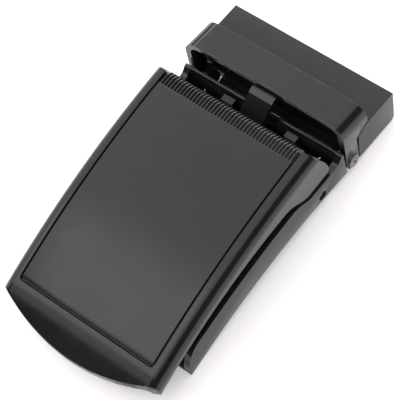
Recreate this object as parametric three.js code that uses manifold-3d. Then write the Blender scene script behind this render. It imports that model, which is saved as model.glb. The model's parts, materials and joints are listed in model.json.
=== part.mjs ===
// Automatic slide buckle for a 35 mm dress belt: an arched press-to-release face over a channel frame,
// a pawl under it, a keeper loop, and a clip for the cut end of the strap.
// Millimetres. +X across the strap, +Y towards the clip, +Z out of the face. The origin is the middle
// of the bounding box, at its bottom. Side outlines are drawn as (y, z), plans as (x, y).
import * as THREE from 'three';
import { mergeVertices } from 'three/addons/utils/BufferGeometryUtils.js';
import Module from 'manifold-3d';

const wasm = await Module();
wasm.setup();

// ---- driving dimensions ----
const strapWidth = 35;
const strapPlay = 0.2; // each side, strap to lug
const lugThickness = 1.1;
const lugPlay = 0.3; // lug to frame wall
const wallThickness = 1.5;

const frameLength = 53.4;
const frameBackY = 24.4;
const frameArch = { y: 1.6, r: 137 }; // the underside; its height follows from the front foot
const frameWallHeight = 7.1; // at the crown of the underside
const frameTopArch = { y: 4.2, r: 152 };
const floorThickness = 1.2;
const entryBarHeight = 2.3;
const entryBarDepth = 2.6;
const windowWidth = 25;
const windowFront = 9; // from the frame's front end
const floorBridge = 8.4; // floor between the window and the pin's bay
const wallFoot = { length: 5.2, z: 1.0 }; // the round front end of a frame wall
const saddleDrop = { front: 1.0, back: 1.5 }; // below the frame's back corner, where a face ear sits
const crossWallThickness = 0.95;
const crossWallRound = 0.75;
const notchWidth = 8.6;
const notchBottomZ = 5.4;
const postWidth = 2.9;
const postDepth = 1.5;
const postPitch = 16.6; // between the two posts
const postDrop = 1.6; // below the frame's back corner
const hornLand = 0.35; // the flat top of the wall at the frame's back corner
const hornReach = 0.8; // the run of its curve down to the saddle
const barRound = 1.1;
const joinReach = 0.5; // how far a joined piece runs into the one that carries it

const pinFromBack = 8.1;
const pinZ = 4.4;
const pinRadius = 1.05;
const pinRecess = 0.3;
const pinPlay = 0.08; // radial, on every part that turns on the pin
const pinBayLength = 8.2;
const pinBayOffset = 0.2; // the bay's middle, behind the pin

const faceOverhang = 12.7; // past the frame's front end
const faceArch = { r: 160 };
const faceCrownBack = 1.1; // the crown of the face, behind the pin
const faceRise = 10.48; // the crown of the face, above the frame's back corner
const faceHalfInset = 0.1; // face edge inside the frame's outer width
const faceShoulder = { across: 2.6, down: 2.9 };
const faceWallThickness = 1.5;
const faceTipSagitta = 4.7;
const faceRollStart = 5.9; // from the tip
const faceRollDrop = 1.6;
const skirtArch = { r: 96 };
const skirtCrownFront = 17.0; // the crown of the skirt's lower edge, before the pin
const skirtRise = 3.92; // above the frame's back corner
const skirtLean = 0.3;
const skirtDepth = 12.5;
const earReach = 3.75; // the ear's back corner, behind the pin
const earGap = 0.45; // ear to saddle, at the saddle's front
const pocketDepth = 1.0;
const webThickness = 1.1;
const marginWidth = 2.95; // outer edge to groove
const grooveWidth = 0.4;
const pocketFromTip = 7.4;

const panelBedGap = 0.08;
const gripReach = 0.45; // rolled end past the crown of the face
const gripRoll = 2.45; // radius of the roll
const gripDrop = 3.8; // how far it rolls down
const rivetRadius = 1.0;
const rivetHeadRadius = 1.9;
const rivetHeadHeight = 0.6;
const rivetPlay = 0.1;
const rivetFrontInset = 6.5; // behind the pocket's front
const rivetBackInset = 9.75; // before the pin
const rivetSeatGap = 0.05; // head to the web
const rivetEndGap = 0.1; // shank below the pocket's floor

const pawlWidth = 6;
const pawlHubWall = 0.77;
const pawlReach = 1.6; // tip past the frame's back end
const pawlRise = 4.7; // tip above the frame's back corner
const lugHubWall = 0.75;
const springWire = 0.28; // radius
const springPlay = 0.22; // coil to pin
const springTurns = 3;
const springPitch = 2.1; // in wire radii, from turn to turn
const springLegGap = 0.5; // leg to cross wall
const sleeveWall = 0.32;
const stackGap = 0.3; // between the parts in line on the pin

const screwFromFrame = 2.35; // hinge line behind the frame's back end
const screwZ = 3.05;
const screwRadius = 1.0;
const screwHeadRadius = 1.6;
const screwHeadHeight = 0.8;
const screwHeadSink = 0.3;
const screwProud = 0.2; // its end, past the frame's ear
const screwPlay = 0.08;
const screwSinkPlay = 0.12; // head to the wall of its sink
const earRadius = 1.9;
const earThickness = 1.0;
const earPlay = 0.3; // clip ear to the plane of the frame wall
const frameEarThickness = 1.3;
const washerThickness = 0.4;
const washerInset = 0.1; // its edge inside the ears'
const washerGap = 0.08;

const loopLength = 7.6; // keeper loop, along the strap
const loopRise = 7.6; // frame's back top edge to the loop's front top edge
const loopFromFrame = 1.1;
const loopDrop = 1.35; // front to back of its top
const loopThickness = 1.1;
const loopLegThickness = 1.4;
const loopCrown = 0.4;
const loopCornerRadius = 3.6;
const bossRadius = 2.0;
const loopLobeRise = { front: 5.95, back: 7.45 }; // lower edge of its side, above the screw

const clipLength = 12.2;
const clipHeight = 8.7;
const clipLean = 0.95; // the ends' lean over their height
const clipFall = 1.25; // front to back of its top
const clipSheet = 1.0;
const clipCorner = 1.2; // radius of the lower back corner
const earNeck = 0.15; // hinge ears to the clip's front
const clipGap = 0.35; // loop to clip
const clipFrontZ = 1.3;
const apronReach = 1.35; // the clip's floor, before the hinge line
const apronPlay = 0.5; // apron to frame ear
const jawThickness = 1.2;
const jawLift = 0.4; // above the clip's bottom edge
const jawSidePlay = 0.5;
const jawPinRadius = 0.6;
const jawKnuckleWall = 0.7;
const jawPinFromFront = 2.8;
const jawPinSeat = 0.6; // depth of its blind hole in each side of the shell
const jawPinEndGap = 0.2;
const toothCount = 8;
const toothHeight = 1.2;
const toothHalfWidth = 1.1;
const toothThickness = 0.9;
const toothRoot = 0.4; // into the jaw
const toothSetback = 2.6; // before the jaw's back edge
const toothMargin = 1.5; // between the row and the jaw's side
const jawBackGap = 0.4; // jaw to the clip's back edge

// ---- sizes that follow ----
const innerHalf = strapWidth / 2 + strapPlay + lugThickness + lugPlay;
const outerHalf = innerHalf + wallThickness;
const lugOuter = innerHalf - lugPlay;
const lugInner = lugOuter - lugThickness;
const frameFrontY = frameBackY - frameLength;
frameArch.z = frameArch.r - Math.sqrt(frameArch.r ** 2 - (frameFrontY - frameArch.y) ** 2);
frameTopArch.z = frameArch.z + frameWallHeight;
const frameTopZ = archZ(frameTopArch, frameBackY);
const pinY = frameBackY - pinFromBack;
const screwY = frameBackY + screwFromFrame;
const clipEarOuter = innerHalf - earPlay;
const clipEarInner = clipEarOuter - earThickness;
const frameEarOuter = clipEarInner - 2 * washerGap - washerThickness;
const faceTipY = frameFrontY - faceOverhang;
faceArch.y = pinY + faceCrownBack;
faceArch.z = frameTopZ + faceRise;
skirtArch.y = pinY - skirtCrownFront;
skirtArch.z = frameTopZ + skirtRise;
const faceHalf = outerHalf - faceHalfInset;
const pocketHalf = outerHalf - marginWidth - faceHalfInset / 2;
const panelHalf = pocketHalf - grooveWidth;
const pocketFrontY = faceTipY + pocketFromTip;
const earZ = frameTopZ - saddleDrop.front + earGap;
const loopFrontY = frameBackY + loopFromFrame;
const loopBackY = loopFrontY + loopLength;
const loopTopZ = frameTopZ + loopRise;
const loopTilt = Math.atan2(loopDrop, loopLength);
const clipFrontY = screwY + earRadius + earNeck;
const clipBackY = clipFrontY + clipLength;
const clipEndY = clipBackY + clipLean * 0.75; // the lid's back edge
const far = 60; // longer than any part, for cutters

// ---- outlines ----
function archZ(arch, y) {
  return arch.z - arch.r + Math.sqrt(arch.r ** 2 - (y - arch.y) ** 2);
}

function archLine(arch, fromY, toY, steps, offset = 0) {
  const points = [];
  for (let i = 0; i <= steps; i += 1) {
    const y = fromY + ((toY - fromY) * i) / steps;
    points.push([y, archZ(arch, y) + offset]);
  }
  return points;
}

function arcLine(cu, cv, radius, fromDeg, toDeg, steps, radiusV = radius) {
  const points = [];
  for (let i = 0; i <= steps; i += 1) {
    const a = THREE.MathUtils.degToRad(fromDeg + ((toDeg - fromDeg) * i) / steps);
    points.push([cu + radius * Math.cos(a), cv + radiusV * Math.sin(a)]);
  }
  return points;
}

function bezierLine(a, b, c, d, steps) {
  const curve = new THREE.CubicBezierCurve(...[a, b, c, d].map((p) => new THREE.Vector2(...p)));
  return curve.getPoints(steps).map((p) => [p.x, p.y]);
}

function outline(points) {
  return new THREE.Shape(points.map(([u, v]) => new THREE.Vector2(u, v)));
}

function circle(u, v, radius, steps = 32) {
  return arcLine(u, v, radius, 0, 360 - 360 / steps, steps - 1);
}

// ---- solids ----
function extruded(points, depth, steps = 1) {
  return new THREE.ExtrudeGeometry(outline(points), { depth, steps, bevelEnabled: false });
}

function solidOf(geometry) {
  const bare = new THREE.BufferGeometry();
  bare.setAttribute('position', geometry.getAttribute('position').clone());
  if (geometry.index) bare.setIndex(geometry.index.clone());
  const merged = mergeVertices(bare, 1e-5);
  const mesh = new wasm.Mesh({
    numProp: 3,
    vertProperties: merged.attributes.position.array,
    triVerts: new Uint32Array(merged.index.array),
  });
  return new wasm.Manifold(mesh);
}

// A side outline (y, z) drawn out across X.
function acrossX(points, fromX, toX) {
  const turn = new THREE.Matrix4().makeBasis(
    new THREE.Vector3(0, 1, 0),
    new THREE.Vector3(0, 0, 1),
    new THREE.Vector3(1, 0, 0),
  );
  const geometry = extruded(points, toX - fromX).applyMatrix4(turn);
  return solidOf(geometry.translate(fromX, 0, 0));
}

// A plan outline (x, y) drawn up Z.
function upZ(points, fromZ, toZ) {
  return solidOf(extruded(points, toZ - fromZ).translate(0, 0, fromZ));
}

// A cross-section (x, z) drawn along Y.
function alongY(points, fromY, toY, steps = 1) {
  const geometry = extruded(points, toY - fromY, steps).rotateX(Math.PI / 2);
  return geometry.translate(0, toY, 0);
}

// Bends a flat length of face, drawn with z = 0 on its top, round the face's arch.
function bent(geometry) {
  const place = geometry.getAttribute('position');
  for (let i = 0; i < place.count; i += 1) {
    const turn = Math.asin((place.getY(i) - faceArch.y) / faceArch.r);
    const reach = faceArch.r + place.getZ(i);
    place.setY(i, faceArch.y + reach * Math.sin(turn));
    place.setZ(i, faceArch.z - faceArch.r + reach * Math.cos(turn));
  }
  return solidOf(geometry);
}

// Sets a shape drawn round Z, with z = 0 on the face's top, square on the face at (x, y).
function onFace(geometry, x, y) {
  const turn = Math.asin((y - faceArch.y) / faceArch.r);
  return solidOf(geometry.rotateX(-turn).translate(x, y, archZ(faceArch, y)));
}

function box(fromX, toX, fromY, toY, fromZ, toZ) {
  const geometry = new THREE.BoxGeometry(toX - fromX, toY - fromY, toZ - fromZ);
  return solidOf(geometry.translate((fromX + toX) / 2, (fromY + toY) / 2, (fromZ + toZ) / 2));
}

function rod(radius, y, z, fromX, toX, steps = 32) {
  return acrossX(circle(y, z, radius, steps), fromX, toX);
}

function ring(radius, hole, y, z, fromX, toX) {
  return rod(radius, y, z, fromX, toX).subtract(rod(hole, y, z, fromX - 1, toX + 1));
}

function joined(...solids) {
  return solids.reduce((all, next) => all.add(next));
}

function mirrored(make) {
  return [-1, 1].map((side) => make(side));
}

// Orders two X values so that a piece can be given by its side.
function span(side, near, outward) {
  return side > 0 ? [near, outward] : [-outward, -near];
}

// ---- meshes ----
const group = new THREE.Group();
const finishes = {
  black: { color: 0x2b2a2b, roughness: 0.38, metalness: 0.85 },
  inner: { color: 0x222223, roughness: 0.5, metalness: 0.8 },
  steel: { color: 0x8d8b83, roughness: 0.35, metalness: 1.0 },
};

function addMesh(name, solid, finish) {
  const { vertProperties, triVerts, numProp } = solid.getMesh();
  const position = new Float32Array((vertProperties.length / numProp) * 3);
  for (let i = 0; i < position.length / 3; i += 1) {
    for (let k = 0; k < 3; k += 1) position[i * 3 + k] = vertProperties[i * numProp + k];
  }
  const geometry = new THREE.BufferGeometry();
  geometry.setAttribute('position', new THREE.BufferAttribute(position, 3));
  geometry.setIndex(new THREE.BufferAttribute(new Uint32Array(triVerts), 1));
  geometry.computeVertexNormals();
  const mesh = new THREE.Mesh(geometry, new THREE.MeshStandardMaterial(finishes[finish]));
  mesh.name = name;
  group.add(mesh);
}

// ---- base frame: an arched channel that the strap slides through ----
function floorStrip(fromY, toY, fromX, toX) {
  const steps = Math.max(2, Math.ceil((toY - fromY) / 3));
  const under = archLine(frameArch, fromY, toY, steps);
  const over = archLine(frameArch, toY, fromY, steps, floorThickness);
  return acrossX([...under, ...over], fromX, toX);
}

// The wall's top dips behind the middle, in a saddle that leaves room for the face's ear.
function frameWallOutline() {
  const roundStartY = frameFrontY + wallFoot.length;
  const roundHeight = archZ(frameTopArch, roundStartY) - wallFoot.z;
  const backZ = frameTopZ - saddleDrop.back;
  const frontZ = frameTopZ - saddleDrop.front;
  const hornY = frameBackY - hornLand;
  const saddle = { backY: pinY + 5.3, frontY: pinY - 2.6, startY: pinY - 8.6 };
  const startZ = archZ(frameTopArch, saddle.startY);
  return [
    ...archLine(frameArch, frameFrontY, frameBackY, 26),
    [frameBackY, frameTopZ],
    ...bezierLine(
      [hornY, frameTopZ],
      [hornY - hornReach, frameTopZ - 0.1],
      [hornY - hornReach, backZ + 0.2],
      [saddle.backY, backZ],
      8,
    ),
    ...bezierLine(
      [saddle.frontY, frontZ],
      [saddle.frontY - 2.2, frontZ + 0.1],
      [saddle.startY + 2.7, startZ - 0.12],
      [saddle.startY, startZ],
      12,
    ),
    ...archLine(frameTopArch, saddle.startY - 1, roundStartY, 18),
    ...arcLine(roundStartY, wallFoot.z, wallFoot.length, 96, 180, 14, roundHeight),
  ];
}

function baseFrame() {
  const windowStartY = frameFrontY + windowFront;
  const pinBayStartY = pinY - pinBayLength / 2 + pinBayOffset;
  const pinBayEndY = pinBayStartY + pinBayLength;
  const windowEndY = pinBayStartY - floorBridge;
  const reachX = innerHalf + joinReach;
  const bar = [
    [frameFrontY, archZ(frameArch, frameFrontY)],
    [frameFrontY + entryBarDepth, archZ(frameArch, frameFrontY + entryBarDepth)],
    ...arcLine(
      frameFrontY + entryBarDepth / 2,
      entryBarHeight - barRound,
      entryBarDepth / 2,
      0,
      180,
      10,
      barRound,
    ),
  ];
  const crossWall = [
    [frameBackY - crossWallThickness, archZ(frameArch, frameBackY - crossWallThickness)],
    [frameBackY, archZ(frameArch, frameBackY)],
    [frameBackY, frameTopZ],
    ...arcLine(
      frameBackY - crossWallThickness + crossWallRound,
      frameTopZ - crossWallRound,
      crossWallRound,
      90,
      180,
      5,
    ),
  ];
  const earBack = [
    [frameBackY - joinReach, archZ(frameArch, frameBackY)],
    ...arcLine(screwY, screwZ, earRadius, -110, 90, 12),
    [frameBackY - joinReach, screwZ + earRadius],
  ];
  const walls = mirrored((side) => acrossX(frameWallOutline(), ...span(side, innerHalf, outerHalf)));
  const rails = mirrored((side) => (
    floorStrip(windowStartY - 1, windowEndY + 1, ...span(side, windowWidth / 2, reachX))
  ));
  const posts = mirrored((side) => {
    const fromY = frameBackY - crossWallThickness - postDepth;
    const [fromX, toX] = span(side, (postPitch - postWidth) / 2, (postPitch + postWidth) / 2);
    const footZ = archZ(frameArch, fromY) + 0.2;
    return box(fromX, toX, fromY, frameBackY - 0.4, footZ, frameTopZ - postDrop);
  });
  const ears = mirrored((side) => (
    acrossX(earBack, ...span(side, frameEarOuter - frameEarThickness, frameEarOuter))
  ));
  const whole = joined(
    ...walls,
    ...rails,
    ...posts,
    ...ears,
    floorStrip(frameFrontY, windowStartY, -reachX, reachX),
    floorStrip(windowEndY, pinBayStartY, -reachX, reachX),
    floorStrip(pinBayEndY, frameBackY, -reachX, reachX),
    acrossX(bar, -reachX, reachX),
    acrossX(crossWall, -reachX, reachX),
  );
  const notch = box(
    -notchWidth / 2,
    notchWidth / 2,
    frameBackY - crossWallThickness - joinReach,
    frameBackY + joinReach,
    notchBottomZ,
    frameTopZ + 1,
  );
  const pinHole = rod(pinRadius + pinPlay, pinY, pinZ, -far, far);
  const screwHole = rod(screwRadius + screwPlay, screwY, screwZ, -far, far);
  return whole.subtract(notch).subtract(pinHole).subtract(screwHole);
}

// ---- face: the cast surround, with lugs down to the pin, and the panel let into it ----
function faceSection() {
  const depth = skirtDepth;
  const shoulderX = faceHalf - faceShoulder.across;
  const right = [
    ...arcLine(shoulderX, -faceShoulder.down, faceShoulder.across, 90, 0, 6, faceShoulder.down),
    [faceHalf - skirtLean, -depth],
    [faceHalf - skirtLean - faceWallThickness, -depth],
    [faceHalf - faceWallThickness, -faceShoulder.down - 1.2],
    [faceHalf - faceWallThickness - 1.4, -pocketDepth - webThickness],
  ];
  const left = right.map(([x, z]) => [-x, z]).reverse();
  return [...right, ...left];
}

// The ears' back edge, from above the margin down to the ear's corner.
const faceEnd = [
  [pinY, faceArch.z + 0.9],
  [pinY + 1.0, faceArch.z - 1.7],
  [pinY + 2.0, faceArch.z - 3.7],
  [pinY + 2.95, faceArch.z - 6.0],
  [pinY + earReach - 0.25, faceArch.z - 8.0],
  [pinY + earReach, earZ],
];

function faceSide() {
  const rollY = faceTipY + faceRollStart;
  const rolled = [];
  const steps = 6;
  for (let i = 0; i <= steps; i += 1) {
    const t = 1 - i / steps;
    const y = faceTipY + faceRollStart * (1 - t);
    rolled.push([y, archZ(faceArch, y) - faceRollDrop * t ** 1.6]);
  }
  const skirtEnd = [pinY - 9.5, archZ(skirtArch, pinY - 9.5)];
  const earStart = [pinY - 2.7, earZ];
  return [
    ...archLine(skirtArch, faceTipY - 0.01, skirtEnd[0], 16),
    ...bezierLine(
      skirtEnd,
      [skirtEnd[0] + 2.5, skirtEnd[1] - 0.8],
      [earStart[0] - 2.7, earZ + 0.25],
      earStart,
      7,
    ).slice(1),
    ...[...faceEnd].reverse(),
    [rollY + 2, faceArch.z + 1],
    ...rolled.reverse(),
  ];
}

function facePlan() {
  const radius = (faceHalf ** 2 + faceTipSagitta ** 2) / (2 * faceTipSagitta);
  const sweep = THREE.MathUtils.radToDeg(Math.asin(faceHalf / radius));
  return [
    [faceHalf, far],
    [-faceHalf, far],
    ...arcLine(0, faceTipY + radius, radius, 270 - sweep, 270 + sweep, 22),
  ];
}

function lugOutline() {
  const hub = pinRadius + lugHubWall;
  return [
    [pinY - 8, faceArch.z - 4.5],
    [pinY - 6.2, earZ + 2.9],
    [pinY - 3.4, earZ + 0.5],
    [pinY - hub * 0.98, pinZ + 0.4],
    ...arcLine(pinY, pinZ, hub, 190, 350, 10),
    [pinY + earReach - 0.1, earZ],
    ...[...faceEnd].reverse().slice(1, 4),
    [pinY + 1.1, faceArch.z - 2.3],
  ];
}

function rivetPlaces() {
  const acrossHalf = panelHalf * 0.62;
  const frontY = pocketFrontY + rivetFrontInset;
  const backY = pinY - rivetBackInset;
  return [[-acrossHalf, frontY], [acrossHalf, frontY], [-acrossHalf, backY], [acrossHalf, backY]];
}

function faceSurround() {
  const blank = bent(alongY(faceSection(), faceTipY - 3, faceArch.y + 5, 20));
  const pocket = bent(alongY(
    [[-pocketHalf, -pocketDepth], [pocketHalf, -pocketDepth], [pocketHalf, 3], [-pocketHalf, 3]],
    pocketFrontY,
    faceArch.y + 7,
    18,
  ));
  const lugs = mirrored((side) => acrossX(lugOutline(), ...span(side, lugInner, lugOuter)));
  const endCut = box(-pocketHalf, pocketHalf, faceArch.y - gripRoll + 0.4, far, faceArch.z - 6, far);
  let surround = blank.intersect(upZ(facePlan(), -far, far));
  surround = surround.intersect(acrossX(faceSide(), -far, far));
  surround = joined(surround, ...lugs).subtract(pocket).subtract(endCut);
  surround = surround.subtract(rod(pinRadius + pinPlay, pinY, pinZ, -far, far));
  for (const [x, y] of rivetPlaces()) {
    const hole = extruded(circle(0, 0, rivetRadius + rivetPlay, 16), 6).translate(0, 0, -6);
    surround = surround.subtract(onFace(hole, x, y));
  }
  return surround;
}

// The panel lies in the pocket and is rolled down over the back end, where a thumb presses it.
function facePanel() {
  const startY = pocketFrontY + grooveWidth;
  const outY = faceArch.y + gripReach;
  const bendY = outY - gripRoll;
  const bendZ = archZ(faceArch, bendY);
  const endZ = faceArch.z - gripDrop;
  const sheet = pocketDepth - panelBedGap;
  const side = [
    ...archLine(faceArch, startY, bendY, 18),
    ...arcLine(bendY, bendZ - gripRoll, gripRoll, 78, 0, 6),
    [outY, endZ],
    [outY - sheet, endZ],
    ...arcLine(bendY, bendZ - gripRoll, gripRoll - sheet, 0, 78, 4),
    ...archLine(faceArch, bendY, startY, 18, -sheet),
  ];
  return acrossX(side, -panelHalf, panelHalf);
}

function panelRivet([x, y]) {
  const seat = -pocketDepth - webThickness - rivetSeatGap;
  const top = -pocketDepth - rivetEndGap;
  const profile = [
    [0, seat - rivetHeadHeight],
    [rivetHeadRadius * 0.7, seat - rivetHeadHeight],
    [rivetHeadRadius, seat - rivetHeadHeight * 0.4],
    [rivetHeadRadius, seat],
    [rivetRadius, seat],
    [rivetRadius, top],
    [0, top],
  ];
  const points = profile.map(([r, z]) => new THREE.Vector2(r, z));
  return onFace(new THREE.LatheGeometry(points, 16).rotateX(Math.PI / 2), x, y);
}

// ---- on the pin: pawl, springs and sleeves ----
function pawl() {
  const tip = [frameBackY + pawlReach, frameTopZ + pawlRise];
  const upperStart = [pinY - 1.2, pinZ + 1.4];
  const lowerEnd = [pinY + 1.7, pinZ + 0.6];
  const arm = [
    ...bezierLine(upperStart, [pinY + 1.6, pinZ + 4.6], [tip[0] - 4.0, tip[1] - 1.3], tip, 14),
    [tip[0] + 0.35, tip[1] - 0.65],
    ...bezierLine(
      [tip[0] - 0.4, tip[1] - 1.2],
      [tip[0] - 3.4, tip[1] - 2.5],
      [pinY + 3.1, pinZ + 4.2],
      lowerEnd,
      14,
    ),
  ];
  const half = pawlWidth / 2;
  const hub = rod(pinRadius + pinPlay + pawlHubWall, pinY, pinZ, -half, half);
  const bore = rod(pinRadius + pinPlay, pinY, pinZ, -far, far);
  return hub.add(acrossX(arm, -half, half)).subtract(bore);
}

// A torsion spring on the pin: leg, coil, leg, as one tube.
function torsionSpring(fromX, toX, startLeg, endLeg, turns) {
  const coil = [];
  const coilRadius = pinRadius + springPlay + springWire;
  const perTurn = 10;
  const startAngle = Math.atan2(startLeg[1] - pinZ, startLeg[0] - pinY) + Math.PI / 2;
  const endAngle = Math.atan2(endLeg[1] - pinZ, endLeg[0] - pinY) - Math.PI / 2;
  const lap = 2 * Math.PI;
  const sweep = turns * lap + ((((endAngle - startAngle) % lap) + lap) % lap);
  const count = Math.ceil((sweep / lap) * perTurn);
  for (let i = 0; i <= count; i += 1) {
    const a = startAngle + (sweep * i) / count;
    const y = pinY + coilRadius * Math.cos(a);
    const z = pinZ + coilRadius * Math.sin(a);
    coil.push(new THREE.Vector3(fromX + ((toX - fromX) * i) / count, y, z));
  }
  const points = [new THREE.Vector3(fromX, ...startLeg), ...coil, new THREE.Vector3(toX, ...endLeg)];
  const curve = new THREE.CatmullRomCurve3(points, false, 'centripetal');
  const section = outline(circle(0, 0, springWire, 5));
  const tube = new THREE.ExtrudeGeometry(section, {
    steps: count + 6,
    extrudePath: curve,
    bevelEnabled: false,
  });
  return solidOf(tube);
}

// ---- keeper loop: holds down the free end of the strap ----
function loopSection() {
  const r = loopCornerRadius;
  const inner = r - loopThickness;
  const legInner = outerHalf - loopLegThickness;
  const crown = (half, base, steps) => {
    const points = [];
    for (let i = 0; i <= steps; i += 1) {
      const x = half - (2 * half * i) / steps;
      points.push([x, base + loopCrown * (1 - (x / half) ** 2)]);
    }
    return points;
  };
  const outerSide = arcLine(outerHalf - r, -r, r, 0, 90, 14);
  const innerSide = arcLine(legInner - inner, -loopThickness - inner, inner, 90, 0, 9);
  return [
    [outerHalf, -far],
    ...outerSide.slice(0, -1),
    ...crown(outerHalf - r, 0, 12),
    ...outerSide.slice(0, -1).map(([x, z]) => [-x, z]).reverse(),
    [-outerHalf, -far],
    [-legInner, -far],
    ...innerSide.slice(1).map(([x, z]) => [-x, z]).reverse(),
    ...crown(legInner - inner, -loopThickness, 12).reverse(),
    ...innerSide.slice(1),
    [legInner, -far],
  ];
}

const lobe = { y: screwY + bossRadius + 0.2, z: screwZ + loopLobeRise.front };
const lobeBack = { y: loopBackY - 0.1, z: screwZ + loopLobeRise.back };

function loopSide(grow = 0) {
  return [
    [loopFrontY, loopTopZ + 3],
    [loopFrontY, loopTopZ],
    ...arcLine(screwY, screwZ, bossRadius + grow, 175, 360, 24),
    [lobe.y + grow, lobe.z - grow],
    [lobeBack.y + grow * 0.4, lobeBack.z - grow],
    [loopBackY + grow, lobeBack.z + 0.5 - grow],
    [loopBackY + grow, loopTopZ + 3],
  ];
}

function keeperLoop() {
  const arch = alongY(loopSection(), -20, 20).rotateX(-loopTilt);
  arch.translate(0, loopFrontY, loopTopZ);
  let loop = solidOf(arch).intersect(acrossX(loopSide(), -far, far));
  loop = loop.subtract(rod(screwRadius + screwPlay, screwY, screwZ, -far, far));
  for (const side of [-1, 1]) {
    const sink = span(side, outerHalf - screwHeadSink - screwPlay, far);
    loop = loop.subtract(rod(screwHeadRadius + screwSinkPlay, screwY, screwZ, ...sink));
  }
  return loop;
}

// ---- clip: a sheet shell on the hinge screws, with a toothed jaw in its mouth ----
function clipFloorZ(y) {
  return clipFrontZ * (1 - (y - clipFrontY) / clipLength);
}

function clipTopZ(y) {
  const startY = clipFrontY + clipLean;
  return clipFrontZ + clipHeight - (clipFall * (y - startY)) / clipLength;
}

function clipOutline() {
  return [
    [clipFrontY, clipFrontZ],
    [clipBackY - clipCorner, clipFloorZ(clipBackY - clipCorner)],
    ...arcLine(clipBackY - clipCorner, clipCorner, clipCorner, -75, 0, 8),
    [clipEndY, clipTopZ(clipEndY)],
    [clipFrontY + clipLean, clipTopZ(clipFrontY + clipLean)],
  ];
}

function clipHollow() {
  const startY = clipFrontY + clipSheet;
  const below = 5;
  return [
    [startY - (clipLean * (clipFrontZ + below)) / clipHeight, -below],
    [far, -below],
    [far, clipTopZ(far) - clipSheet],
    [startY + clipLean, clipTopZ(startY + clipLean) - clipSheet],
  ];
}

const apronHalf = frameEarOuter - frameEarThickness - apronPlay;

function clipShell() {
  const sheetInner = outerHalf - clipSheet;
  const ear = [
    ...arcLine(screwY, screwZ, earRadius, 90, 270, 12),
    [clipFrontY + 0.6, clipFrontZ],
    [clipFrontY + 0.9, screwZ + earRadius],
  ];
  let shell = acrossX(clipOutline(), -outerHalf, outerHalf);
  shell = shell.subtract(acrossX(clipHollow(), -sheetInner, sheetInner));
  for (const side of [-1, 1]) {
    shell = shell.subtract(acrossX(loopSide(clipGap), ...span(side, clipEarOuter, far)));
  }
  shell = joined(
    shell,
    ...mirrored((side) => acrossX(ear, ...span(side, clipEarInner, clipEarOuter))),
    acrossX(apronOutline(), -apronHalf, apronHalf),
  );
  const seat = sheetInner + jawPinSeat;
  shell = shell.subtract(rod(screwRadius + screwPlay, screwY, screwZ, -far, far));
  return shell.subtract(rod(jawPinRadius + pinPlay, jawPinY(), jawPinZ(), -seat, seat));
}

// The shell's floor runs on under the keeper loop, between the frame's ears.
function apronOutline() {
  return [
    [screwY - apronReach, clipFrontZ],
    [clipFrontY + 0.5, clipFrontZ],
    [clipFrontY + 0.5, clipFrontZ + clipSheet],
    [screwY - apronReach, clipFrontZ + clipSheet],
  ];
}

function jawPinY() {
  return clipFrontY + jawPinFromFront;
}

function jawPinZ() {
  return clipFloorZ(jawPinY()) + jawLift + jawPinRadius + jawKnuckleWall;
}

function clipJaw() {
  const half = outerHalf - clipSheet - jawSidePlay;
  const endY = clipBackY - jawBackGap;
  const knuckle = jawPinRadius + jawKnuckleWall;
  const plate = [
    [jawPinY(), clipFloorZ(jawPinY()) + jawLift],
    [endY, clipFloorZ(endY) + jawLift],
    [endY, clipFloorZ(endY) + jawLift + jawThickness],
    [jawPinY(), clipFloorZ(jawPinY()) + jawLift + jawThickness],
  ];
  let jaw = acrossX(plate, -half, half).add(rod(knuckle, jawPinY(), jawPinZ(), -half, half));
  const toothPitch = (2 * (half - toothMargin)) / toothCount;
  const toothY = endY - toothSetback;
  const baseZ = clipFloorZ(toothY) + jawLift + jawThickness;
  for (let i = 0; i < toothCount; i += 1) {
    const x = -half + toothMargin + (i + 0.5) * toothPitch;
    const tooth = [
      [x - toothHalfWidth, baseZ - toothRoot],
      [x + toothHalfWidth, baseZ - toothRoot],
      [x, baseZ + toothHeight],
    ];
    jaw = jaw.add(solidOf(alongY(tooth, toothY, toothY + toothThickness)));
  }
  return jaw.subtract(rod(jawPinRadius + pinPlay, jawPinY(), jawPinZ(), -far, far));
}

// ---- hinge screws and washers ----
function hingeScrew(side) {
  const headFrom = outerHalf - screwHeadSink;
  const headTo = headFrom + screwHeadHeight;
  const shankEnd = frameEarOuter - frameEarThickness - screwProud;
  const crossHalf = 0.24;
  const crossReach = screwHeadRadius * 0.62;
  const crossDepth = 0.35;
  let screw = rod(screwHeadRadius, screwY, screwZ, ...span(side, headFrom, headTo));
  screw = screw.add(rod(screwRadius, screwY, screwZ, ...span(side, shankEnd, headFrom + 0.1)));
  const [cutFrom, cutTo] = span(side, headTo - crossDepth, headTo + 1);
  const flat = [screwY - crossReach, screwY + crossReach, screwZ - crossHalf, screwZ + crossHalf];
  const tall = [screwY - crossHalf, screwY + crossHalf, screwZ - crossReach, screwZ + crossReach];
  return screw.subtract(box(cutFrom, cutTo, ...flat)).subtract(box(cutFrom, cutTo, ...tall));
}

function hingeWasher(side) {
  const outer = clipEarInner - washerGap;
  const faces = span(side, outer - washerThickness, outer);
  return ring(earRadius - washerInset, screwRadius + screwPlay, screwY, screwZ, ...faces);
}

// ---- the assembly ----
const pinEnd = outerHalf - pinRecess;
const half = pawlWidth / 2;
const coilLength = (springTurns + 1) * springWire * springPitch;
const leverCoilTo = lugInner - stackGap - springWire;
const leverCoilFrom = leverCoilTo - coilLength;
const pawlCoilFrom = half + stackGap + springWire;
const pawlCoilTo = pawlCoilFrom + coilLength;
const sleeveTo = leverCoilFrom - stackGap - springWire;

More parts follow.
